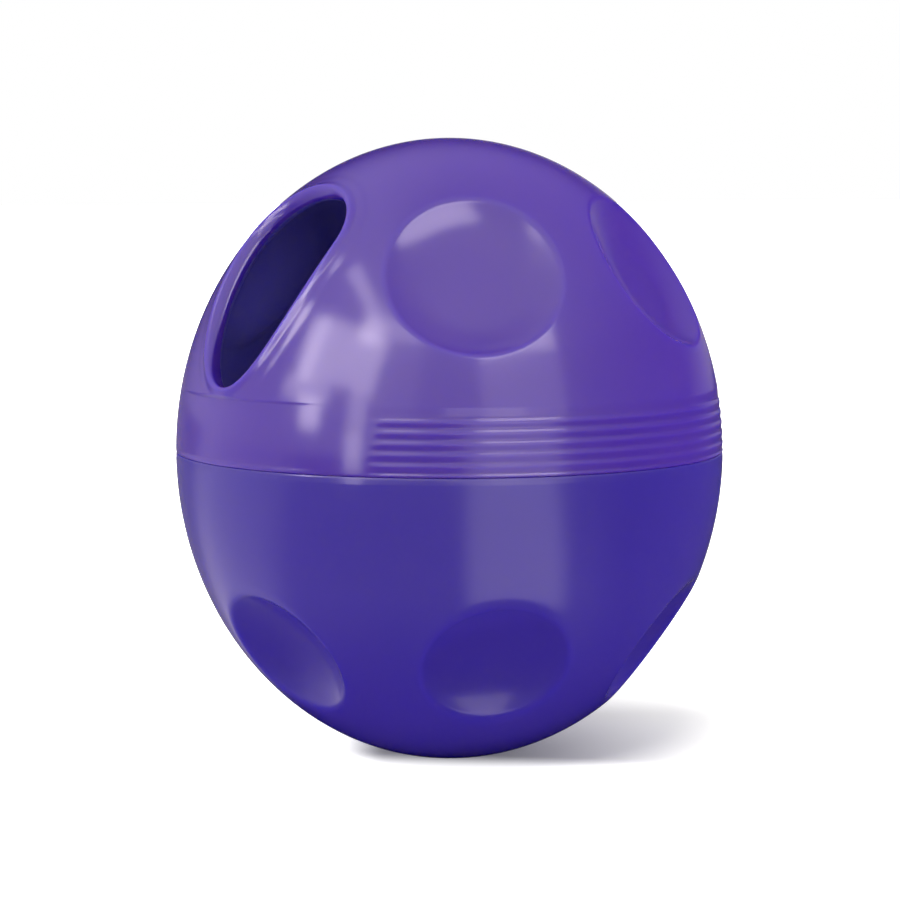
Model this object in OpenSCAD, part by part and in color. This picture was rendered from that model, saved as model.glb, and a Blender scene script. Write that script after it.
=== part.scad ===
// Treat dispensing ball for a cat: a hollow egg in two moulded shells that pull apart at the middle.
// The origin is the ball's centre, +Z is its long axis, and the treat opening faces -Y.

/* [Ball] */
// Diameter across the seam
ball_d = 70; // [64:0.5:80]
// Height from pole to pole
ball_h = 79.5; // [72:0.5:92]
// Thickness of the moulded wall
wall = 2.2; // [1.8:0.1:2.6]

/* [Places round the ball] */
// Places round each shell, one of which holds the opening in the upper shell
place_count = 6; // [5:1:6]
// Slope of the wall at the middle of each place, in degrees from upright
place_slope = 34; // [31:0.5:37]
// Turn of the lower shell's dimples from the upper shell's, in degrees
lower_turn_angle = 5.7; // [0:0.1:30]

/* [Upper dimples] */
// Diameter at the crisp rim
dimple_d = 21.7; // [18:0.1:23]
// Depth of the flat floor under the rim
dimple_depth = 1.7; // [1:0.1:2.2]
// Diameter of the flat floor
dimple_floor_d = 11.8; // [8:0.1:14]

/* [Lower dimples] */
// Diameter at the middle of the soft rim
dish_d = 18.4; // [16:0.1:21]
// Depth of the dish under its rim
dish_depth = 3.2; // [2:0.1:3.8]
// Radius of the soft rim
dish_lip_r = 1.6; // [1:0.1:3]

/* [Treat opening] */
// Widest width of the opening
opening_w = 18.6; // [15:0.1:21]
// Height from its narrow foot to its widest line
opening_foot_h = 20.1; // [17:0.1:22.5]
// Height from its widest line to its round top
opening_top_h = 7.9; // [7:0.1:11]
// Height of its widest line over the middle of its place
opening_rise = 4.5; // [4:0.1:7]
// Width of the raised lip round it
lip_w = 1.2; // [0.8:0.1:1.6]
// Height of the lip over the dome
lip_h = 0.3; // [0.2:0.1:0.6]

/* [Belt] */
// Height of the belt over the seam
belt_h = 8.4; // [8:0.1:8.7]
// Depth of the belt's grooves and of its smooth panel
belt_depth = 0.3; // [0.2:0.05:0.5]
// Angle of the smooth panel under the opening, in degrees
panel_angle = 78; // [50:0.5:90]
// Number of grip grooves, with a rib between each two
groove_count = 5; // [3:1:6]
// Distance from one rib to the next
rib_pitch = 1.3; // [1.1:0.05:1.35]
// Width of a rib, and of the skirt's edge under the lowest groove
rib_w = 0.5; // [0.3:0.05:0.7]

/* [Snap closure] */
// Thickness of the upper shell's skirt at the seam
skirt_t = 3.1; // [2.6:0.1:3.6]
// Height of the lower shell's neck over the seam
neck_h = 6.4; // [5:0.1:7]
// Thickness of the neck
neck_t = 1.8; // [1.4:0.1:2.4]
// Gap between the neck's wall and the skirt
neck_gap = 0.3; // [0.2:0.05:0.5]
// Gap between the snap bead's crown and the skirt, left so that the halves slide without force
bead_gap = 0.06; // [0.02:0.01:0.1]
// Height of the bead's middle over the seam
bead_rise = 4; // [3:0.1:4.4]
// Radius of the bead's round section
bead_r = 0.7; // [0.5:0.05:0.9]

/* [Edges] */
// Bevel on the lower shell's shoulder, under the seam
shoulder_drop = 0.8; // [0.4:0.1:1.2]
// Depth of that bevel
shoulder_cut = 0.25; // [0.1:0.05:0.4]
// Height of the neck's solid root under the seam
root_h = 1.6; // [1:0.1:2.5]

/* [Hidden] */

// What every cut overruns by
over = 1;
ball_r = ball_d / 2;
half_h = ball_h / 2;
// The skirt's bore, the neck that stands in it and the groove that the bead rests in
bore_r = ball_r - skirt_t;
neck_r = bore_r - neck_gap;
neck_bore_r = neck_r - neck_t;
bead_centre_r = bore_r - bead_gap - bead_r;
place_step = 360 / place_count;

// Where the wall stands at the place's slope: its distance from the axis, its height,
// and the wall's mean radius of curvature there
slope_span = sqrt(pow(ball_r * cos(place_slope), 2) + pow(half_h * sin(place_slope), 2));
place_x = pow(ball_r, 2) * cos(place_slope) / slope_span;
place_z = pow(half_h, 2) * sin(place_slope) / slope_span;
round_r = pow(ball_r, 2) / slope_span;
tall_r = pow(ball_r * half_h, 2) / pow(slope_span, 3);
place_r = (round_r + tall_r) / 2;

// The upper dimple: its rim's drop under the place, and the round between floor and rim
dimple_r = dimple_d / 2;
floor_r = dimple_floor_d / 2;
rim_drop = place_r - sqrt(pow(place_r, 2) - pow(dimple_r, 2));
fillet_r = (pow(dimple_r - floor_r, 2) + pow(dimple_depth, 2)) / (2 * dimple_depth);

// The lower dish: a hollow round on the axis that meets a soft round lip, which meets the dome
dish_r = dish_d / 2;
dish_rim_drop = place_r - sqrt(pow(place_r, 2) - pow(dish_r, 2));
dish_sink = dish_rim_drop + dish_depth;
lip_angle = asin((dish_r + dish_lip_r / 2) / place_r);
lip_x = (place_r - dish_lip_r) * sin(lip_angle);
lip_y = (place_r - dish_lip_r) * cos(lip_angle) - place_r;
lip_lift = lip_y + dish_sink;
hollow_r = (pow(lip_x, 2) + pow(lip_lift, 2) - pow(dish_lip_r, 2)) / (2 * (dish_lip_r + lip_lift));
hollow_y = hollow_r - dish_sink;
touch_share = hollow_r / (hollow_r + dish_lip_r);
touch_x = lip_x * touch_share;
touch_y = hollow_y + (lip_y - hollow_y) * touch_share;

$fn = 96;

// The upper half of the egg, grown or shrunk by a wall
module half_egg(grow = 0) {
    rotate_extrude()
        intersection() {
            scale([ball_r + grow, half_h + grow])
                circle(r = 1);
            square([ball_d, ball_h]);
        }
}

// Puts its children on the wall at a place, with Z along the wall's outward direction
module at_place(turn) {
    rotate([0, 0, turn - 90])
        translate([place_x, 0, place_z])
            rotate([0, 90 - place_slope, 0])
                children();
}

// The space over an upper dimple's floor, grown all round by a wall
module dimple_space(grow = 0) {
    translate([0, 0, -rim_drop - dimple_depth])
        rotate_extrude($fn = 64)
            intersection() {
                union() {
                    translate([floor_r, fillet_r])
                        circle(r = fillet_r + grow);
                    translate([0, -grow])
                        square([floor_r, 2 * (fillet_r + grow)]);
                }
                translate([0, -grow])
                    square([dimple_r + grow, 2 * (fillet_r + grow)]);
            }
}

// The space over a lower dish, with its soft lip, or its plain hollow grown by a wall
module dish_space(grow = 0) {
    rotate_extrude($fn = 64) {
        intersection() {
            translate([0, hollow_y])
                circle(r = hollow_r + grow);
            translate([0, -dish_sink - grow])
                square([dish_r + grow, dish_sink + hollow_r]);
        }
        if (grow == 0)
            difference() {
                translate([touch_x, touch_y])
                    square([dish_r + dish_lip_r / 2 - touch_x, hollow_r]);
                translate([lip_x, lip_y])
                    circle(r = dish_lip_r);
            }
    }
}

// The opening's outline, round at the top and drawn in to a narrow foot, grown by a lip
module opening_outline(grow = 0) {
    translate([-opening_rise, 0]) {
        intersection() {
            scale([opening_top_h + grow, opening_w / 2 + grow])
                circle(r = 1);
            translate([-ball_h, -ball_d / 2])
                square([ball_h, ball_d]);
        }
        intersection() {
            scale([opening_foot_h + grow, opening_w / 2 + grow])
                circle(r = 1);
            translate([0, -ball_d / 2])
                square([ball_h, ball_d]);
        }
    }
}

// The opening's straight way through the wall, from inside the ball to outside
module opening_way(grow = 0) {
    at_place(0)
        translate([0, 0, -place_x / 2])
            linear_extrude(height = place_x)
                opening_outline(grow);
}

// A thin skin of the belt between two heights, turned through an angle
module belt_skin(low, high, angle, start) {
    rotate([0, 0, start])
        rotate_extrude(angle = angle)
            difference() {
                translate([neck_r, low])
                    square([ball_r + over - neck_r, high - low]);
                scale([ball_r - belt_depth, half_h - belt_depth])
                    circle(r = 1);
            }
}

// The grooves between the ribs, and the smooth panel under the opening
module belt_cuts() {
    groove_w = rib_pitch - rib_w;
    belt_skin(rib_w, belt_h, panel_angle, -90 - panel_angle / 2);
    for (k = [0 : groove_count - 1])
        belt_skin(rib_w + k * rib_pitch, rib_w + k * rib_pitch + groove_w,
            360 - panel_angle, -90 + panel_angle / 2);
}

// The upper shell: dome, skirt and belt, five dimples and the treat opening
module upper_shell() {
    color("mediumpurple")
        difference() {
            union() {
                half_egg();
                intersection() {
                    half_egg(lip_h);
                    opening_way(lip_w);
                }
            }
            for (k = [1 : place_count - 1])
                at_place(k * place_step)
                    dimple_space();
            belt_cuts();
            opening_way();
            difference() {
                intersection() {
                    half_egg(-wall);
                    cylinder(r = bore_r, h = half_h);
                }
                for (k = [1 : place_count - 1])
                    at_place(k * place_step)
                        dimple_space(wall);
            }
            translate([0, 0, -over])
                cylinder(r = bore_r, h = 2 * over);
            rotate_extrude()
                translate([bead_centre_r, bead_rise])
                    circle(r = bead_r + bead_gap + neck_gap, $fn = 32);
        }
}

// The lower shell: bowl with six soft dimples, and the neck that snaps into the skirt
module lower_shell() {
    color("darkslateblue")
        difference() {
            union() {
                mirror([0, 0, 1])
                    difference() {
                        half_egg();
                        shoulder_bevel();
                    }
                translate([0, 0, -root_h])
                    cylinder(r = neck_r, h = root_h + neck_h);
                rotate_extrude()
                    translate([bead_centre_r, bead_rise])
                        circle(r = bead_r, $fn = 32);
            }
            mirror([0, 0, 1])
                for (k = [0 : place_count - 1])
                    at_place(k * place_step + lower_turn_angle)
                        dish_space();
            difference() {
                mirror([0, 0, 1])
                    half_egg(-wall);
                neck_root();
                mirror([0, 0, 1])
                    for (k = [0 : place_count - 1])
                        at_place(k * place_step + lower_turn_angle)
                            dish_space(wall);
            }
            translate([0, 0, -over])
                cylinder(r = neck_bore_r, h = over + neck_h + over);
        }
}

// The bevel cut from the shoulder, drawn over the seam as on the upper shell
module shoulder_bevel() {
    rotate_extrude()
        polygon([
            [ball_r - shoulder_cut, -over],
            [ball_r - shoulder_cut, 0],
            [ball_r, shoulder_drop],
            [ball_r + over, shoulder_drop],
            [ball_r + over, -over]
        ]);
}

// The ring that carries the neck inside the bowl, sloped underneath
module neck_root() {
    slope = ball_r - neck_bore_r;
    rotate_extrude()
        polygon([
            [neck_bore_r, over],
            [ball_r, over],
            [ball_r, -root_h - slope],
            [neck_bore_r, -root_h]
        ]);
}

upper_shell();
lower_shell();
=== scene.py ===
import math

import bmesh
import bpy
import numpy as np
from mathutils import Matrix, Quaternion, Vector


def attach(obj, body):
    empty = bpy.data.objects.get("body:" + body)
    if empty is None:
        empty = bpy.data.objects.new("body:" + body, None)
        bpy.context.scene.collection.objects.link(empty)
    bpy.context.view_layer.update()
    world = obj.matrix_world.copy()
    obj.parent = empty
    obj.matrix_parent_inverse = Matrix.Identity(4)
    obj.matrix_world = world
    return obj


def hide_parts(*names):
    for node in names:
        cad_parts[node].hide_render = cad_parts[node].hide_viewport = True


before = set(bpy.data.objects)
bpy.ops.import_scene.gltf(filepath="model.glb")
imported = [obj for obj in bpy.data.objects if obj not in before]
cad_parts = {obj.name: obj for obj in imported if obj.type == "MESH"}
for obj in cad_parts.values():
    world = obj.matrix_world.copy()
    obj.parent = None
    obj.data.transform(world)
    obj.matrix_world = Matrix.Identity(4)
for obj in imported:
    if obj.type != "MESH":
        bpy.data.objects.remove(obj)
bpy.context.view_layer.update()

# The camera. The ball stands on its lower pole and is seen from a little above its middle, with
# the treat opening turned to the left. A long lens stands 350 mm from the ball's centre.
TURN, RISE, REACH = 53.7, 5.7, 0.350
PICTURE, FOCAL, SHIFT_X, SHIFT_Y = 900, 2722, 0.59, -1.15  # all in the picture's pixels


def towards(azimuth, elevation, distance):
    """The point at a distance from the ball's centre. The azimuth is counted from the camera's
    own, to its right."""
    a, e = math.radians(TURN + azimuth), math.radians(elevation)
    return distance * Vector((math.sin(a) * math.cos(e), -math.cos(a) * math.cos(e), math.sin(e)))


camera = bpy.data.objects.new("camera", bpy.data.cameras.new("camera"))
bpy.context.scene.collection.objects.link(camera)
camera.location = towards(0, RISE, REACH)
camera.rotation_euler = (-camera.location).to_track_quat("-Z", "Y").to_euler()
camera.data.sensor_width = 36.0
camera.data.lens = camera.data.sensor_width * FOCAL / PICTURE
camera.data.shift_x, camera.data.shift_y = SHIFT_X / PICTURE, SHIFT_Y / PICTURE
camera.data.clip_start = 0.01
bpy.context.scene.camera = camera

# The upper shell. One injection moulding in polished, slightly cloudy purple plastic: the dome
# with five crisp dimples and the treat opening with its rolled edge, the belt with its grip ribs,
# and the skirt that comes down over the lower shell's neck. Sizes are in millimetres.
BALL_R, HALF_H, WALL = 35.0, 39.75, 2.2
# the skirt's bore, and how softly the dome's inside runs out into it
BORE_R, BORE_EASE = 31.9, 0.3
# six places round each shell for a dimple or the opening. Each lies where the wall has this slope
PLACES, PLACE_SLOPE = 6, math.radians(34)
SPAN = math.hypot(BALL_R * math.cos(PLACE_SLOPE), HALF_H * math.sin(PLACE_SLOPE))
PLACE_X = BALL_R**2 * math.cos(PLACE_SLOPE) / SPAN
PLACE_Z = HALF_H**2 * math.sin(PLACE_SLOPE) / SPAN
# the wall's mean radius of curvature at a place
PLACE_R = (BALL_R**2 / SPAN + (BALL_R * HALF_H) ** 2 / SPAN**3) / 2
# the first place's middle, and its three directions: down the wall, along it, and out of it
PLACE = np.array([0, -PLACE_X, PLACE_Z])
DOWN = np.array([0, -math.sin(PLACE_SLOPE), -math.cos(PLACE_SLOPE)])
ALONG = np.array([1.0, 0, 0])
OUT = np.array([0, -math.cos(PLACE_SLOPE), math.sin(PLACE_SLOPE)])


def round_axis(r, z, turn):
    """The points at a distance r from the ball's axis and a height z, turned from -Y towards +X."""
    return np.stack([r * np.sin(turn), -r * np.cos(turn), z + 0 * turn], -1)


def share_at(z, half_h):
    """The share of the way from the pole to the seam, in latitude, at a height on a shell of that
    half height."""
    return 1 - np.arcsin(np.clip(z / half_h, -1, 1)) / (math.pi / 2)


def egg(share, turn):
    """The outside of the smooth egg: share runs evenly in latitude from 0 at the pole to 1 at the
    seam, and turn goes round. At latitude t the radius is R cos t and the height is H sin t."""
    t = (1 - share) * math.pi / 2
    return round_axis(BALL_R * np.cos(t), HALF_H * np.sin(t), turn)


def soft_min(a, b, width):
    """The smaller of two heights with a rounded corner: min less the square of what their
    difference lacks of the width, over four widths."""
    return np.minimum(a, b) - np.maximum(width - np.abs(a - b), 0) ** 2 / (4 * width)


def upper_inner_radius(t):
    """The inside's distance from the axis at latitude t: the egg's, shrunk by the wall, held in to
    the skirt's bore low down."""
    return soft_min((BALL_R - WALL) * np.cos(t), np.full_like(t, BORE_R), BORE_EASE)


def upper_inside(share, turn):
    """The inside of the upper shell, by share and turn as the egg is."""
    t = (1 - share) * math.pi / 2
    return round_axis(upper_inner_radius(t), (HALF_H - WALL) * np.sin(t), turn)


def from_place(points):
    """Points as distances down the wall, along it and out of it, from the first place's middle."""
    q = points - PLACE
    return q @ DOWN, q @ ALONG, q @ OUT


def flat_point(share, turn):
    """Flattens the shell on a disc: a point lies share from the middle, in its own direction."""
    return np.stack([share * np.sin(turn), share * np.cos(turn)], -1)


def shell_point(flat):
    """The share and the turn of a point of the flattened disc."""
    return np.hypot(flat[..., 0], flat[..., 1]), np.arctan2(flat[..., 0], flat[..., 1])


def flat_of(points, half_h):
    """Where a point of a shell of that half height lies in the flattened disc."""
    return flat_point(share_at(points[..., 2], half_h), np.arctan2(points[..., 0], -points[..., 1]))


FLAT_PLACE = flat_point(share_at(PLACE_Z, HALF_H), 0.0)


def sector_edge(last_share, turns):
    """The edge of one sector of the flattened shell, from the pole down one meridian, along the
    lowest circle through the given turns, and up the other meridian."""
    half, steps = math.pi / PLACES, 45
    down = np.linspace(0, last_share, steps + 1)[:-1]
    right = flat_point(down, np.full_like(down, half))
    low = flat_point(np.full_like(turns, last_share), turns)[::-1]
    left = flat_point(down, np.full_like(down, -half))[:0:-1]
    return np.concatenate([right, low, left])


def halved(inside, low, high, count):
    """For each ray, the share of its length at which the test turns from true to false, found by
    halving the span often enough to reach the last digit."""
    lo, hi, halvings = np.full(count, low), np.full(count, high), 40
    for _ in range(halvings):
        mid = (lo + hi) / 2
        ok = inside(mid)
        lo, hi = np.where(ok, mid, lo), np.where(ok, hi, mid)
    return (lo + hi) / 2


def turned(points, angle):
    """Points turned round the ball's long axis, from -Y towards +X."""
    s, c = math.sin(angle), math.cos(angle)
    x, y = points[..., 0], points[..., 1]
    return np.stack([x * c - y * s, x * s + y * c, points[..., 2]], -1)


# the part of a ray from a place's middle to its sector's edge in which a rim is looked for
RAY_FROM, RAY_TO = 0.02, 0.98


def hollowed_sector(base, turn, edge, height, blend, rim_r, inner_rings, outer_rings):
    """One sector with a round hollow: rings about the place's middle, first to the hollow's rim
    and then out to the sector's edge. Each point of the base is let down along the place's axis to
    the lower of the base and of the hollow's own height at that spot, with a soft corner."""
    def shaped(share_of_ray):
        p = base(*shell_point(FLAT_PLACE + (edge - FLAT_PLACE) * share_of_ray[..., None]))
        return p, *from_place(p)

    def in_rim(share_of_ray):
        p, x, y, h = shaped(share_of_ray)
        return np.hypot(x, y) < rim_r

    rim = halved(in_rim, RAY_FROM, RAY_TO, len(edge))
    p, x, y, h = shaped(
        np.concatenate([inner_rings[:, None] * rim, rim + outer_rings[:, None] * (1 - rim)]))
    return turned(p + (soft_min(h, height(x, y), blend) - h)[..., None] * OUT, turn)


class Moulding:
    """Grids of points that become one closed mesh: their shared edges are merged."""

    def __init__(self):
        self.points, self.faces, self.count = [], [], 0

    def grid(self, points):
        """Adds a grid of rows whose last column joins its first."""
        rows, cols = points.shape[:2]
        index = np.arange(rows * cols).reshape(rows, cols) + self.count
        index = np.concatenate([index, index[:, :1]], 1)
        corners = [index[:-1, :-1], index[:-1, 1:], index[1:, 1:], index[1:, :-1]]
        self.faces.append(np.stack(corners, -1).reshape(-1, 4))
        self.points.append(points.reshape(-1, 3))
        self.count += rows * cols

    def piece(self, name):
        """The mesh as an object, in metres: doubles merged, faces turned outwards, shaded smooth.
        Its attribute core_side is 1 where the surface faces the ball's middle, as the mould's core
        leaves it."""
        mesh = bpy.data.meshes.new(name)
        mesh.from_pydata(
            np.concatenate(self.points) * 0.001, [], np.concatenate(self.faces).tolist())
        shell = bmesh.new()
        shell.from_mesh(mesh)
        bmesh.ops.remove_doubles(shell, verts=shell.verts, dist=2e-6)
        bmesh.ops.recalc_face_normals(shell, faces=shell.faces)
        open_edges = sum(1 for e in shell.edges if not e.is_manifold)
        shell.to_mesh(mesh)
        shell.free()
        mesh.polygons.foreach_set("use_smooth", np.ones(len(mesh.polygons), bool))
        normals, places = np.empty(3 * len(mesh.vertices)), np.empty(3 * len(mesh.vertices))
        mesh.vertices.foreach_get("normal", normals)
        mesh.vertices.foreach_get("co", places)
        normals, places = normals.reshape(-1, 3), places.reshape(-1, 3)
        inwards = -(normals * places).sum(-1) / np.linalg.norm(places, axis=-1)
        core_side = mesh.attributes.new("core_side", "FLOAT", "POINT")
        core_side.data.foreach_set("value", np.clip(4 * inwards - 1.8, 0, 1))
        made = bpy.data.objects.new(name, mesh)
        bpy.context.scene.collection.objects.link(made)
        triangles = sum(len(f.vertices) - 2 for f in mesh.polygons)
        print(name, "triangles", triangles, "open edges", open_edges)
        return made


def rings_to(count, power):
    """Shares from 0 to 1, packed towards the end by the power."""
    return 1 - (1 - np.linspace(0, 1, count)) ** power


def rings_from(count, power):
    """Shares from just over 0 to 1, packed towards the start by the power."""
    return (np.linspace(0, 1, count + 1)[1:]) ** power


# the upper dimple: a flat floor, a round wall and a crisp rim. On the side towards the pole its
# floor is narrower and less deep, so its wall slopes more gently there
DIMPLE_R, DIMPLE_EASE, INSIDE_EASE = 10.85, 0.4, 0.8
FLOOR_R, DIMPLE_DEPTH = 5.9, 1.7
UPPER_FLOOR_R, UPPER_DEPTH = 2.6, 1.25
RIM_DROP = PLACE_R - math.sqrt(PLACE_R**2 - DIMPLE_R**2)
# the share of the wall's arc after which it goes straight on
ARC_END = 0.9


def dimple_height(grow):
    """The dimple's floor and wall over the place, at x down the wall and y along it from the
    place's middle: flat out to the floor's radius, then a circle's arc up to the rim, and straight
    on past the arc's end. The floor's radius and the depth go from one side's values to the
    other's with the cosine of the way round."""
    def height(x, y):
        r = np.hypot(x, y)
        side = (1 + x / np.maximum(r, 1e-9)) / 2
        floor_r = UPPER_FLOOR_R + (FLOOR_R - UPPER_FLOOR_R) * side
        depth = DIMPLE_DEPTH - (DIMPLE_DEPTH - UPPER_DEPTH) * (1 - side)
        radius = ((DIMPLE_R - floor_r) ** 2 + depth**2) / (2 * depth) + grow
        s = np.maximum(r - floor_r, 0) / radius
        arc = 1 - np.sqrt(1 - np.minimum(s, ARC_END) ** 2)
        arc = arc + np.maximum(s - ARC_END, 0) * ARC_END / math.sqrt(1 - ARC_END**2)
        lift = (DIMPLE_DEPTH - UPPER_DEPTH) * (1 - x / DIMPLE_R) / 2
        return -RIM_DROP - DIMPLE_DEPTH + lift - grow + radius * arc

    return height


# the treat opening: an upright egg cut straight through the wall. OPEN_W is half its width, and
# its widest line stands OPEN_RISE over the place's middle
OPEN_W, OPEN_FOOT, OPEN_TOP, OPEN_RISE = 9.3, 20.1, 7.9, 4.5
# its rolled lip: the roll's radius, then a flank that falls away outwards, with a bead on its crest
LIP_ROUND, LIP_FLANK, FLANK_H, BEAD_W, BEAD_H = 0.65, 2.5, 0.2, 0.8, 0.18
LIP_H = FLANK_H + BEAD_H
# the round of the opening's inner edge
IN_ROUND = 0.8
# how much wider, deeper and flatter the roll is where it is fullest, and the inner round with it
NOSE, NOSE_DEEP, NOSE_FLAT, NOSE_IN_W, NOSE_IN_H = 0.65, 0.85, 0.55, 0.6, 0.1


def opening_ring(way, offset):
    """Points down and along the wall on the opening's outline, moved out of it by an offset. Each
    half of the outline is half an ellipse: its height is the foot's or the top's, its width the
    opening's."""
    tall = np.where(np.cos(way) > 0, OPEN_FOOT, OPEN_TOP)
    x, y = tall * np.cos(way), OPEN_W * np.sin(way)
    nx, ny = x / tall**2, y / OPEN_W**2
    n = np.hypot(nx, ny)
    return x - OPEN_RISE + offset * nx / n, y + offset * ny / n


def opening_gap(x, y):
    """About how far a point lies outside the opening's outline: the ellipse's own equation over
    its gradient."""
    u = x + OPEN_RISE
    tall = np.where(u > 0, OPEN_FOOT, OPEN_TOP)
    k = np.sqrt((u / tall) ** 2 + (y / OPEN_W) ** 2)
    slope = np.hypot(u / tall**2, y / OPEN_W**2) / np.maximum(k, 1e-6)
    return (k - 1) / np.maximum(slope, 1e-6)


def smooth_step(x, low, high):
    """0 under low, 1 over high, and 3s^2 - 2s^3 of the share s between."""
    s = np.clip((x - low) / (high - low), 0, 1)
    return s * s * (3 - 2 * s)


def lip_height(gap):
    """The lip's height over the dome: a narrow bead at the crest, half a cosine wave wide, on a
    straight flank whose foot is eased by the larger root of its own quadratic and is gone 3 mm
    from the opening, inside the sector."""
    s = np.minimum(1 - (gap - LIP_ROUND) / LIP_FLANK, 1)
    flank = FLANK_H * (s + np.sqrt(s * s + 0.008)) / 2 * (1 - smooth_step(gap, 2.1, 3.0))
    b = np.clip((gap - LIP_ROUND) / BEAD_W, 0, 1)
    return BEAD_H * (1 + np.cos(math.pi * b)) / 2 + flank


def outside_with_lip(share, turn):
    """The dome's outside with the lip's flank, for the sector that holds the opening."""
    p = egg(share, turn)
    x, y, h = from_place(p)
    return p + lip_height(opening_gap(x, y))[..., None] * OUT


def on_egg(x, y):
    """The point of the smooth egg over a place's own down and along: the outer root of the egg's
    equation."""
    q = PLACE + x[..., None] * DOWN + y[..., None] * ALONG
    k = np.array([BALL_R, BALL_R, HALF_H]) ** -2.0
    a, b, c = (OUT * OUT) @ k, 2 * (q * OUT) @ k, (q * q) @ k - 1
    return q + ((-b + np.sqrt(b * b - 4 * a * c)) / (2 * a))[..., None] * OUT


# the sectors end low on the dome, outside and inside. Every degree round has a column, and the
# ends of the belt's panel have more, so that each sector's edge meets the belt's own points
EDGE_Z, IN_EDGE_Z, PANEL_HALF, PANEL_SOFT = 8.45, 5.6, 39.5, 2.0
edge_share, in_share = share_at(EDGE_Z, HALF_H), share_at(IN_EDGE_Z, HALF_H - WALL)
panel_ends = PANEL_HALF + np.linspace(-PANEL_SOFT, PANEL_SOFT, 7)
all_turns = np.unique(np.concatenate([np.arange(-30, 331, 1.0), panel_ends, 360 - panel_ends]))


def turns_of(k):
    """The columns that fall in sector k, as turns from its own middle."""
    local = all_turns - 60 * k
    return np.radians(local[(local > -30.001) & (local < 30.001)])


upper = Moulding()
inner_rings = rings_to(31, 1.7)
outer_rings = rings_from(24, 1.9)
for k in range(1, PLACES):
    turn = math.radians(60 * k)
    upper.grid(hollowed_sector(
        egg, turn, sector_edge(edge_share, turns_of(k)), dimple_height(0), DIMPLE_EASE, DIMPLE_R,
        inner_rings, outer_rings))
    upper.grid(hollowed_sector(
        upper_inside, turn, sector_edge(in_share, turns_of(k)), dimple_height(WALL), INSIDE_EASE,
        DIMPLE_R + 0.6 * WALL, inner_rings[::3], outer_rings[2::3]))

# the opening's sector: its rolled edge and crest follow the outline, and rings open out from them
# to the sector's edge
edge = sector_edge(edge_share, turns_of(0))


def on_ray(share_of_ray):
    """Points of the egg on the rays from the place's middle to the sector's edge, as seen from the
    place."""
    return from_place(egg(*shell_point(FLAT_PLACE + (edge - FLAT_PLACE) * share_of_ray[:, None])))


def in_opening(share_of_ray):
    """For each ray, whether its point still lies in the opening."""
    x, y, h = on_ray(share_of_ray)
    return opening_gap(x, y) < 0


x, y, h = on_ray(halved(in_opening, RAY_FROM, RAY_TO, len(edge)))
tall = np.where(x + OPEN_RISE > 0, OPEN_FOOT, OPEN_TOP)
way = np.arctan2(y / OPEN_W, (x + OPEN_RISE) / tall)
# the roll is fullest on the -X side and at the top, where it bulges a little into the opening
full = smooth_step(-OPEN_W * np.sin(way) - 0.4 * (x + OPEN_RISE), -6, 5)
roll_w, roll_h, flatness = LIP_ROUND + NOSE * full, LIP_ROUND + NOSE_DEEP * full, 1 + NOSE_FLAT * full
in_w, in_h = IN_ROUND + NOSE_IN_W * full, IN_ROUND + NOSE_IN_H * full
rolled = []
for step in np.linspace(0, math.pi / 2, 14):
    p = on_egg(*opening_ring(way, LIP_ROUND - roll_w * math.cos(step) ** flatness))
    rolled.append(p + (LIP_H - roll_h * (1 - math.sin(step) ** flatness))[:, None] * OUT)
crest = flat_of(on_egg(*opening_ring(way, LIP_ROUND)), HALF_H)
flank = outside_with_lip(*shell_point(crest + (edge - crest) * rings_from(30, 1.7)[:, None, None]))
upper.grid(np.concatenate([np.stack(rolled), flank]))


# the opening's way through the wall, its rounded inner edge, and the rings to the inner edge of
# the sector
def depth_to_hollow(points):
    """How far each point has to go straight in to reach the inner surface: until then its distance
    from the axis is over that surface's at the same height."""
    def in_wall(depth):
        q = points - depth[:, None] * OUT
        t = np.arcsin(np.clip(q[..., 2] / (HALF_H - WALL), -1, 1))
        return np.hypot(q[..., 0], q[..., 1]) > upper_inner_radius(t)

    deepest = 9.0
    return halved(in_wall, 0.0, deepest, len(points))


top = rolled[0]
straight = np.maximum(depth_to_hollow(top) - in_h, 0.02)
wall_rows = [top - (straight * f)[:, None] * OUT for f in np.linspace(0, 1, 4)]
for step in np.linspace(0, math.pi / 2, 11)[1:]:
    p = on_egg(*opening_ring(way, LIP_ROUND - roll_w + in_w * (1 - math.cos(step))))
    wall_rows.append(p - (depth_to_hollow(p) - in_h * (1 - math.sin(step)))[:, None] * OUT)
low = flat_of(wall_rows[-1], HALF_H - WALL)
edge = sector_edge(in_share, turns_of(0))
inner = upper_inside(*shell_point(low + (edge - low) * rings_from(14, 1.5)[:, None, None]))
upper.grid(np.concatenate([np.stack(wall_rows), inner]))

# the belt, the skirt's rounded foot, and its bore with the bead's groove
BELT_H, RIB_PITCH, GROOVES = 8.4, 1.3, 5
RIB_DEPTH, PANEL_DEPTH, RIB_FOOT, RIB_FLANK = 0.11, 0.12, 1.34, 0.36
# the heights between which the ribs' first flank and the panel's two edges rise
RIB_START, PANEL_START, PANEL_END = (0.2, 0.6), (0.25, 0.8), (BELT_H - 0.35, BELT_H + 0.04)
FOOT_ROUND = 0.28


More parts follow.
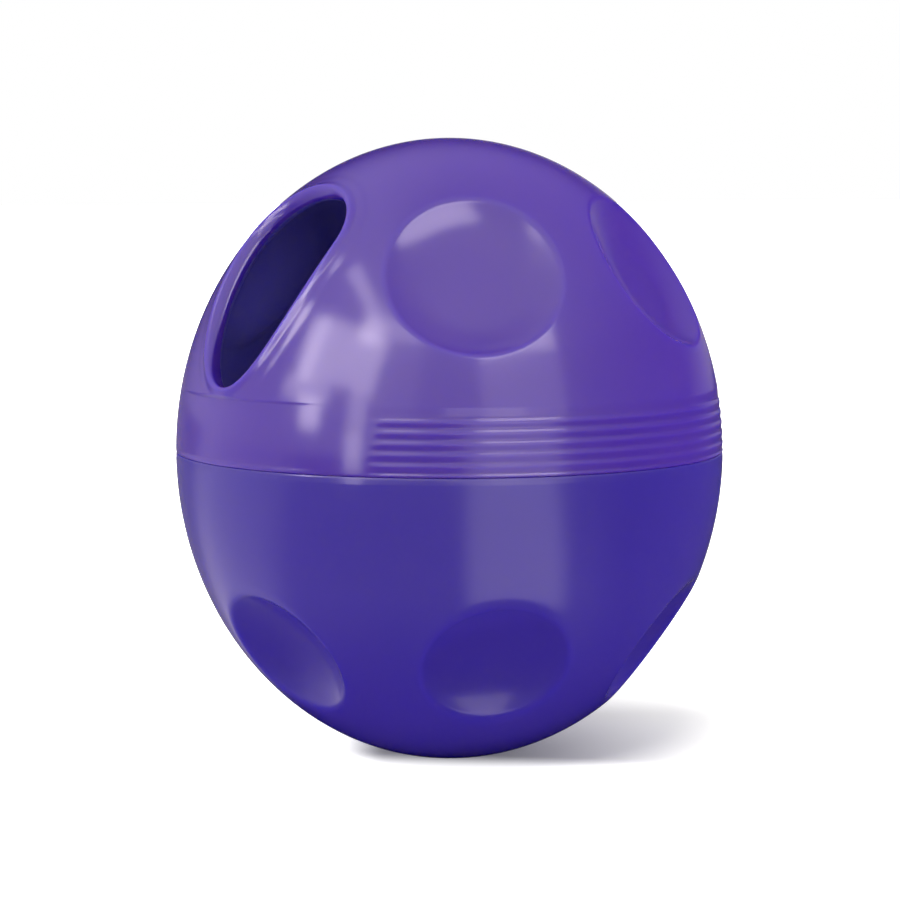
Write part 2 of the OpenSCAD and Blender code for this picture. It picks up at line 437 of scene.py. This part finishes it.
def belt_cut(z, turn):
    """How far the belt is let in under the smooth egg: a wave from rib to rib, whose half cosines
    take RIB_FLANK of the pitch over a rib and the rest under it, that runs out softly into the
    dome over the highest groove, and a flat smooth panel under the opening."""
    top = RIB_FOOT + (GROOVES - 1 + RIB_FLANK) * RIB_PITCH
    step = (np.minimum(z, top) - RIB_FOOT) / RIB_PITCH % 1
    bend = np.minimum(step / RIB_FLANK, (1 - step) / (1 - RIB_FLANK))
    wave = RIB_DEPTH * (1 - np.cos(math.pi * bend)) / 2
    ribbed = wave * (1 - smooth_step(z, top, BELT_H)) * smooth_step(z, *RIB_START)
    panel = PANEL_DEPTH * smooth_step(z, *PANEL_START) * (1 - smooth_step(z, *PANEL_END))
    off = np.abs((np.degrees(turn) + 180) % 360 - 180)
    side = smooth_step(off, PANEL_HALF - PANEL_SOFT, PANEL_HALF + PANEL_SOFT)
    panel_side = smooth_step(off, 0.3 * PANEL_HALF, 0.75 * PANEL_HALF)
    return panel * (1 - panel_side) + ribbed * side


def lathe(profile, turns):
    """A profile of radius and height carried round the ball's axis through the given turns."""
    r, z = np.array(profile).T
    return round_axis(r[:, None], z[:, None], turns)


def bulge(x, z, r, wall_x):
    """A profile's arc of radius r about (x, z) that stands out of a wall, from below upwards."""
    half_bend = math.acos((wall_x - x) / r)
    return [(x + r * math.cos(a), z + r * math.sin(a)) for a in np.linspace(-half_bend, half_bend, 9)]


turns = np.radians(all_turns[:-1])
# close rows at the panel's upper edge, ten to each rib, and close ones again at the foot
heights = np.concatenate([
    [EDGE_Z, 8.43, 8.39, 8.33, 8.27, 8.21, 8.15, 8.09, 8.03, 7.9, 7.7, 7.5, 7.3],
    np.arange(7.15, 0.6, -0.1 * RIB_PITCH),
    [0.55, 0.5, 0.45, 0.4, 0.35, 0.31]])
z, w = np.meshgrid(heights, turns, indexing="ij")
cut = belt_cut(z, w)
p = egg(share_at(z, HALF_H), w)
x, y, h = from_place(p)
# the lip's flank reaches down over the belt's edge, in front only
over_belt = (z > 8.0) * (np.cos(w) > 0.5)
p = p + (lip_height(opening_gap(x, y)) * (1 - cut / PANEL_DEPTH) * over_belt)[..., None] * OUT
p[..., :2] *= (1 - cut / np.hypot(p[..., 0], p[..., 1]))[..., None]
quarter = np.linspace(0, math.pi / 2, 6)
profile = [
    (BALL_R - FOOT_ROUND * (1 - math.cos(a)), FOOT_ROUND * (1 - math.sin(a))) for a in quarter]
profile += [(33.5, 0.0), (BORE_R + 0.25, 0.0), (BORE_R + 0.07, 0.07), (BORE_R, 0.25)]
profile += [(BORE_R, 1.6), (BORE_R, 3.1)]
GROOVE_X, GROOVE_R, BEAD_Z = BORE_R - 0.76, 1.06, 4.0
profile += bulge(GROOVE_X, BEAD_Z, GROOVE_R, BORE_R)
profile += [(BORE_R, 5.1), (-upper_inside(np.array([in_share]), np.zeros(1))[0, 1], IN_EDGE_Z)]
upper.grid(np.concatenate([p, lathe(profile, turns)]))
upper_shell = upper.piece("upper_shell_moulding")


class Shade:
    """A shader socket: Python's own operators on it add Math nodes, and node() adds any other
    kind."""

    def __init__(self, tree, socket=None):
        self.tree, self.socket = tree, socket

    def node(self, kind, settings, values, output=0):
        """Adds a node. Its settings are set first, then each of its sockets gets its value or
        link."""
        made = self.tree.nodes.new(kind)
        for key, value in settings.items():
            setattr(made, key, value)
        for key, value in values.items():
            if isinstance(value, Shade):
                self.tree.links.new(value.socket, made.inputs[key])
            else:
                made.inputs[key].default_value = value
        return Shade(self.tree, made.outputs[output])

    def into(self, socket):
        """Links the socket into a shader's own."""
        self.tree.links.new(self.socket, socket)

    def mix(self, a, b):
        """The colour a where this socket is 0, and b where it is 1."""
        return self.node("ShaderNodeMix", {"data_type": "RGBA"}, {0: self, 6: a, 7: b}, 2)

    def math(self, operation, a, b):
        return self.node("ShaderNodeMath", {"operation": operation}, {0: a, 1: b})

    def __add__(self, other): return self.math("ADD", self, other)
    def __radd__(self, other): return self.math("ADD", other, self)
    def __sub__(self, other): return self.math("SUBTRACT", self, other)
    def __rsub__(self, other): return self.math("SUBTRACT", other, self)
    def __mul__(self, other): return self.math("MULTIPLY", self, other)
    def __rmul__(self, other): return self.math("MULTIPLY", other, self)


def polished_plastic(name, colour, deep, roughness, core):
    """A polished moulding in slightly cloudy plastic. Its pigment drifts between two shades, the
    polish is a little uneven, and the surface has the faint waves and fine grain of a shrunk,
    handled moulding. The core side is left matt and looks paler."""
    material = bpy.data.materials.new(name)
    material.use_nodes = True
    shader = material.node_tree.nodes["Principled BSDF"]
    tree = Shade(material.node_tree)
    place = tree.node("ShaderNodeTexCoord", {}, {}, "Object")

    def noise(scale, detail):
        values = {"Vector": place, "Scale": scale, "Detail": detail}
        return tree.node("ShaderNodeTexNoise", {}, values, "Fac")

    drift, waves, grain = noise(28.0, 2.0), noise(110.0, 0.0), noise(1500.0, 2.0)
    inside = tree.node("ShaderNodeAttribute", {"attribute_name": "core_side"}, {}, "Fac")
    tint = drift.mix((*deep, 1), (*colour, 1))
    inside.mix(tint, (*core, 1)).into(shader.inputs["Base Color"])
    polish, core_roughness = roughness + 0.05 * (grain - 0.5) + 0.06 * (drift - 0.5), 0.42
    (polish + inside * (core_roughness - roughness)).into(shader.inputs["Roughness"])
    height = 0.05 * waves + 0.0004 * grain
    relief = tree.node("ShaderNodeBump", {}, {"Strength": 1.0, "Distance": 0.001, "Height": height})
    relief.into(shader.inputs["Normal"])
    shader.inputs["IOR"].default_value = 1.49
    shader.inputs["Subsurface Weight"].default_value = 1.0
    shader.inputs["Subsurface Radius"].default_value = (0.12, 0.12, 1.0)
    shader.inputs["Subsurface Scale"].default_value = 0.003
    return material


upper_shell.data.materials.append(polished_plastic(
    "purple plastic", (0.068, 0.025, 0.305), (0.060, 0.021, 0.285), 0.15, (0.07, 0.058, 0.31)))
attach(upper_shell, "upper_shell")
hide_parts("upper_shell")

# The lower shell. One injection moulding in polished dark indigo plastic: the bowl with six soft
# dimples that the ball rolls over, the eased shoulder under the seam, and the neck whose bead
# snaps into the upper shell's skirt.
LOWER_TURN = 5.7
NECK_R, NECK_BORE_R, NECK_H, NECK_ROUND = 31.6, 29.8, 6.4, 0.35
# a dish's radius at the middle of its lip, its depth, its lip's radius and its lean to the pole
DISH_R, DISH_DEPTH, DISH_LIP, DISH_LEAN = 9.2, 3.2, 1.6, 1.1
DISH_EASE = 0.15
dish_sink = PLACE_R - math.sqrt(PLACE_R**2 - DISH_R**2) + DISH_DEPTH
lip_angle = math.asin((DISH_R + DISH_LIP / 2) / PLACE_R)
lip_x = (PLACE_R - DISH_LIP) * math.sin(lip_angle)
lip_y = (PLACE_R - DISH_LIP) * math.cos(lip_angle) - PLACE_R
lip_lift = lip_y + dish_sink
hollow_r = (lip_x**2 + lip_lift**2 - DISH_LIP**2) / (2 * (DISH_LIP + lip_lift))
touch_x = lip_x * hollow_r / (hollow_r + DISH_LIP)


def dish_height(grow):
    """The lower dish over the place, at a distance r from its axis: a round hollow whose deepest
    point leans to the pole, then outside a round lip that bends over to the bowl. Inside the shell
    the hollow alone is grown by the wall, and past it the height is out of the way."""
    def height(x, y):
        r = np.hypot(x, y)
        r = np.hypot(x + DISH_LEAN * np.maximum(1 - (r / touch_x) ** 2, 0), y)
        bowl = hollow_r - dish_sink - np.sqrt(np.maximum((hollow_r + grow) ** 2 - r**2, 0))
        if grow:
            return np.where(r < hollow_r * 0.95, bowl, 50.0)
        lip = lip_y + np.sqrt(np.maximum(DISH_LIP**2 - (r - lip_x) ** 2, 0))
        return np.where(r < touch_x, bowl, np.where(r < lip_x, lip, lip_y + DISH_LIP + 0 * r))

    return height


def lower_inside(share, turn):
    """The inside of the lower shell's bowl: the egg shrunk by the wall."""
    t = (1 - share) * math.pi / 2
    return round_axis((BALL_R - WALL) * np.cos(t), (HALF_H - WALL) * np.sin(t), turn)


# the lower shell is made the right way up, as the upper one is, and then put upside down
LOW_EDGE_Z, LOW_IN_Z = 3.0, 4.5
low_share, low_in_share = share_at(LOW_EDGE_Z, HALF_H), share_at(LOW_IN_Z, HALF_H - WALL)
upside_down = np.array([1.0, 1.0, -1.0])
even_turns = np.radians(np.arange(-30, 31, 1.0))
lower = Moulding()
for k in range(PLACES):
    turn = math.radians(60 * k + LOWER_TURN)
    lower.grid(upside_down * hollowed_sector(
        egg, turn, sector_edge(low_share, even_turns), dish_height(0), DISH_EASE, DISH_R,
        inner_rings, outer_rings))
    lower.grid(upside_down * hollowed_sector(
        lower_inside, turn, sector_edge(low_in_share, even_turns), dish_height(WALL), INSIDE_EASE,
        DISH_R + 0.5 * WALL, inner_rings[::2], outer_rings[1::2]))
bowl_heights = (-LOW_EDGE_Z, -2.2, -1.5, -1.1, -0.92, -0.84)
profile = [(BALL_R * math.sqrt(1 - (z / HALF_H) ** 2), z) for z in bowl_heights]
# the shoulder, its top under the skirt, and the foot of the neck
profile += [(34.985, -0.7), (34.975, -0.3), (34.96, -0.1), (34.93, -0.02), (34.86, 0.0), (33.2, 0.0)]
profile += [(NECK_R + 0.2, 0.0), (NECK_R + 0.06, 0.06), (NECK_R, 0.2), (NECK_R, 1.8), (NECK_R, 3.2)]
BEAD_X, BEAD_R = 31.14, 0.7
profile += bulge(BEAD_X, BEAD_Z, BEAD_R, NECK_R)
profile += [(NECK_R, 5.2)]
# the neck's rounded top, its bore, and the slope under its root
profile += [
    (NECK_R - NECK_ROUND * (1 - math.cos(a)), NECK_H - NECK_ROUND * (1 - math.sin(a)))
    for a in quarter]
profile += [
    (NECK_BORE_R + NECK_ROUND * (1 - math.sin(a)), NECK_H - NECK_ROUND * (1 - math.cos(a)))
    for a in quarter]
profile += [(NECK_BORE_R, z) for z in (4.0, 2.0, 0.0, -1.2)]
profile += [(NECK_BORE_R + 0.1, -1.6), (NECK_BORE_R + 1.0, -2.55), (31.8, -3.6)]
profile += [(-lower_inside(np.array([low_in_share]), np.zeros(1))[0, 1], -LOW_IN_Z)]
lower.grid(lathe(profile, np.radians(np.arange(-30, 330, 1.0) + LOWER_TURN)))
lower_shell = lower.piece("lower_shell_moulding")
lower_shell.data.materials.append(polished_plastic(
    "indigo plastic", (0.044, 0.024, 0.285), (0.038, 0.020, 0.262), 0.18, (0.06, 0.052, 0.30)))
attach(lower_shell, "lower_shell")
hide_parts("lower_shell")

# The floor. A plain sheet of white paper under the ball and far behind it. In the polish it shows a
# painted reflection: a grey glow with painted shade under the ball and at its right, and a painted
# pool of light in front where the strip stands.
FLOOR_Z, FLOOR_HALF = -0.03975, 6
floor_mesh = bpy.data.meshes.new("floor")
corners = [(x * FLOOR_HALF, y * FLOOR_HALF, FLOOR_Z) for x, y in ((-1, -1), (1, -1), (1, 1), (-1, 1))]
floor_mesh.from_pydata(corners, [], [(0, 1, 2, 3)])
floor = bpy.data.objects.new("floor", floor_mesh)
bpy.context.scene.collection.objects.link(floor)
paper = bpy.data.materials.new("white paper")
paper.use_nodes = True
sheet = paper.node_tree.nodes["Principled BSDF"]
sheet.inputs["Roughness"].default_value = 0.9
sheet.inputs["Specular IOR Level"].default_value = 0.0
# the lamps' own white is a little pink
LAMP_WHITE = (1.0, 0.88, 0.96)


def reach(vector, azimuth):
    """How far a vector reaches towards an azimuth. For one of length 1 it is the cosine of the
    angle between them."""
    values = {0: vector, 1: towards(azimuth, 0, 1)}
    return vector.node("ShaderNodeVectorMath", {"operation": "DOT_PRODUCT"}, values, "Value")


def eased(value, low, high):
    """The shader's own smooth step, from 0 at low to 1 at high."""
    values = {"Value": value, "From Min": low, "From Max": high}
    return value.node("ShaderNodeMapRange", {"interpolation_type": "SMOOTHSTEP"}, values, "Result")


def lamp_white(glow):
    """A grey level in the lamps' own white."""
    return glow.node("ShaderNodeVectorMath", {"operation": "MULTIPLY"}, {0: glow, 1: LAMP_WHITE})


tree = Shade(paper.node_tree)
mirrored = tree.node("ShaderNodeLightPath", {}, {}, "Is Glossy Ray")
seen = tree.node("ShaderNodeLightPath", {}, {}, "Is Camera Ray")
spot = tree.node("ShaderNodeTexCoord", {}, {}, "Object")
level = tree.node("ShaderNodeVectorMath", {"operation": "MULTIPLY"}, {0: spot, 1: (1, 1, 0)})
away = tree.node("ShaderNodeVectorMath", {"operation": "LENGTH"}, {0: level}, "Value")
heading = tree.node("ShaderNodeVectorMath", {"operation": "NORMALIZE"}, {0: level})
# painted reflection: the polish mirrors a glow, not the lit paper: brighter at the left, a painted
# pool of light in front under the strip, and painted shade under the ball, at its right and behind
painted_reflection = (0.5 + 0.55 * eased(reach(heading, -95), 0.8, 0.97)) * eased(away, 0.022, 0.062)
painted_reflection = painted_reflection + 1.7 * eased(reach(heading, 24), 0.93, 0.975) * eased(away, 0.046, 0.058)
painted_reflection = painted_reflection * (1 - 0.85 * eased(reach(heading, 115), 0.3, 0.75))
painted_reflection = painted_reflection * (1 - 0.5 * eased(reach(heading, -160), 0.75, 0.95))
grey = tree.node("ShaderNodeEmission", {}, {"Color": lamp_white(painted_reflection)})
# painted light: for the camera the paper glows to full white in front of the ball's foot and at its
# left, and less behind it and at its right, so that the shadow is left only where it falls there.
# Other rays see an even glow.
painted_floor_light = eased(reach(level, -8), 0.0, 0.010) + eased(reach(level, -90), 0.008, 0.016)
painted_floor_light = painted_floor_light + 0.35 * eased(reach(level, 180), 0.024, 0.042)
painted_floor_light = painted_floor_light + 0.3 * eased(reach(level, 90), 0.012, 0.045)
glow = tree.node("ShaderNodeEmission", {}, {"Color": 0.2 + seen * (0.9 * painted_floor_light - 0.1)})
seen.mix((0.52, 0.52, 0.52, 1), (0.85, 0.84, 0.79, 1)).into(sheet.inputs["Base Color"])
plain = Shade(paper.node_tree, sheet.outputs[0])
white = tree.node("ShaderNodeAddShader", {}, {0: plain, 1: glow})
surface = tree.node("ShaderNodeMixShader", {}, {0: mirrored, 1: white, 2: grey})
surface.into(paper.node_tree.nodes["Material Output"].inputs["Surface"])
floor.data.materials.append(paper)

# The light. A pale room, one soft key light high in front to the left, a rim light on each side
# behind, and soft boxes that show only in the polish: a window with its edge and strips at the
# left, and two strips under a high box at the right. The mirrored room is dim behind the ball.
room = bpy.data.worlds.new("room")
bpy.context.scene.world = room
room.use_nodes = True
tree = Shade(room.node_tree)
seen = tree.node("ShaderNodeLightPath", {}, {}, "Is Camera Ray")
mirrored = tree.node("ShaderNodeLightPath", {}, {}, "Is Glossy Ray")
heading = tree.node("ShaderNodeTexCoord", {}, {}, "Generated")
upward = tree.node("ShaderNodeSeparateXYZ", {}, {0: heading}, "Z")
sky = 0.04 + 1.25 * eased(reach(heading, -40), -0.7, 0.5) + 0.4 * eased(reach(heading, 20), -0.5, 0.6)
sky = sky + 0.55 * eased(upward, 0.3, 0.85) - 0.3 * eased(upward, 0.92, 1.0)
sky = sky + 0.3 * eased(reach(heading, 155), 0.8, 0.97) * (1 - eased(upward, 0.05, 0.35))
around = 0.75 + 0.25 * eased(reach(heading, -30), -0.6, 0.6)
plain = seen + (1 - seen) * around
mirrored.mix(plain, lamp_white(sky)).into(room.node_tree.nodes["Background"].inputs["Color"])


def new_lamp(name, kind, place):
    """A lamp of a kind at a place, facing the ball's centre."""
    lamp = bpy.data.objects.new(name, bpy.data.lights.new(name, kind))
    bpy.context.scene.collection.objects.link(lamp)
    lamp.location = place
    lamp.rotation_euler = (-place).to_track_quat("-Z", "Y").to_euler()
    return lamp


def soft_box(name, azimuth, elevation, width, height, glow, lean=0.0, distance=3.0):
    """A rectangular lamp that faces the ball's centre, sized in degrees as the ball sees it and
    leaned to the left. Its glow is what a mirror would show of it, and it shows only in what is
    polished."""
    lamp = new_lamp(name, "AREA", towards(azimuth, elevation, distance))
    turn = (-lamp.location).to_track_quat("-Z", "Y") @ Quaternion((0, 0, 1), math.radians(lean))
    lamp.rotation_euler = turn.to_euler()
    wide, tall = (2 * distance * math.tan(math.radians(angle) / 2) for angle in (width, height))
    lamp.data.shape, lamp.data.size, lamp.data.size_y = "RECTANGLE", wide, tall
    lamp.data.energy, lamp.data.color = glow * math.pi * wide * tall, LAMP_WHITE
    lamp.visible_camera = lamp.visible_diffuse = False


soft_box("window", -52, 29.5, 36, 19, 5.7)
soft_box("window sill", -64, 17, 22, 6, 4.5)
soft_box("window corner", -40, 39, 9, 8, 7.5)
soft_box("window top", -54, 50, 26, 5, 4.5, lean=-28)
soft_box("window's far side", -66, 29, 6, 19, 4.0)
soft_box("window edge", -24, 25, 20, 58, 0.6)
soft_box("window edge's lamp", -24, 41, 18, 8, 3.0)
soft_box("left strip", -61, 11, 10, 9, 8.0)
soft_box("near strip", -39, 14, 8, 12, 4.0)
soft_box("near strip's foot", -38, 1.5, 7, 12, 5.5, distance=0.4)
soft_box("right strip", 31, 13, 34, 34, 1.2, distance=0.4)
soft_box("low strip", 14, 4, 32, 10, 1.3, distance=0.4)
soft_box("high box", 33, 38, 32, 12, 6.0)


def soft_sun(name, azimuth, elevation, angle, glow, lights):
    """A wide, even light from one side, with the angle that it spans, that lights only some pieces
    and shows in none. Its glow is the brightness that it adds to a white surface facing it."""
    lamp = new_lamp(name, "SUN", towards(azimuth, elevation, 1.0))
    lamp.data.energy, lamp.data.angle = glow * math.pi, math.radians(angle)
    lamp.visible_glossy = False
    lamp.light_linking.receiver_collection = bpy.data.collections.new(name)
    for piece in lights:
        lamp.light_linking.receiver_collection.objects.link(piece)


soft_sun("key", -28, 51, 50, 0.22, [upper_shell, lower_shell])
soft_sun("left rim light", -140, 25, 80, 0.55, [upper_shell, lower_shell])
soft_sun("right rim light", 125, 20, 80, 1.1, [upper_shell, lower_shell])
soft_sun("key over the floor", -28, 50, 45, 1.7, [floor])

# light that comes through the shell's own walls and the opening, on the inside of the dome
lamp = new_lamp("light inside", "POINT", towards(-90, 30, 0.017))
lamp.data.energy, lamp.data.shadow_soft_size = 0.0040, 0.006
lamp.visible_camera = lamp.visible_glossy = False

bpy.context.scene.view_settings.view_transform = "Standard"
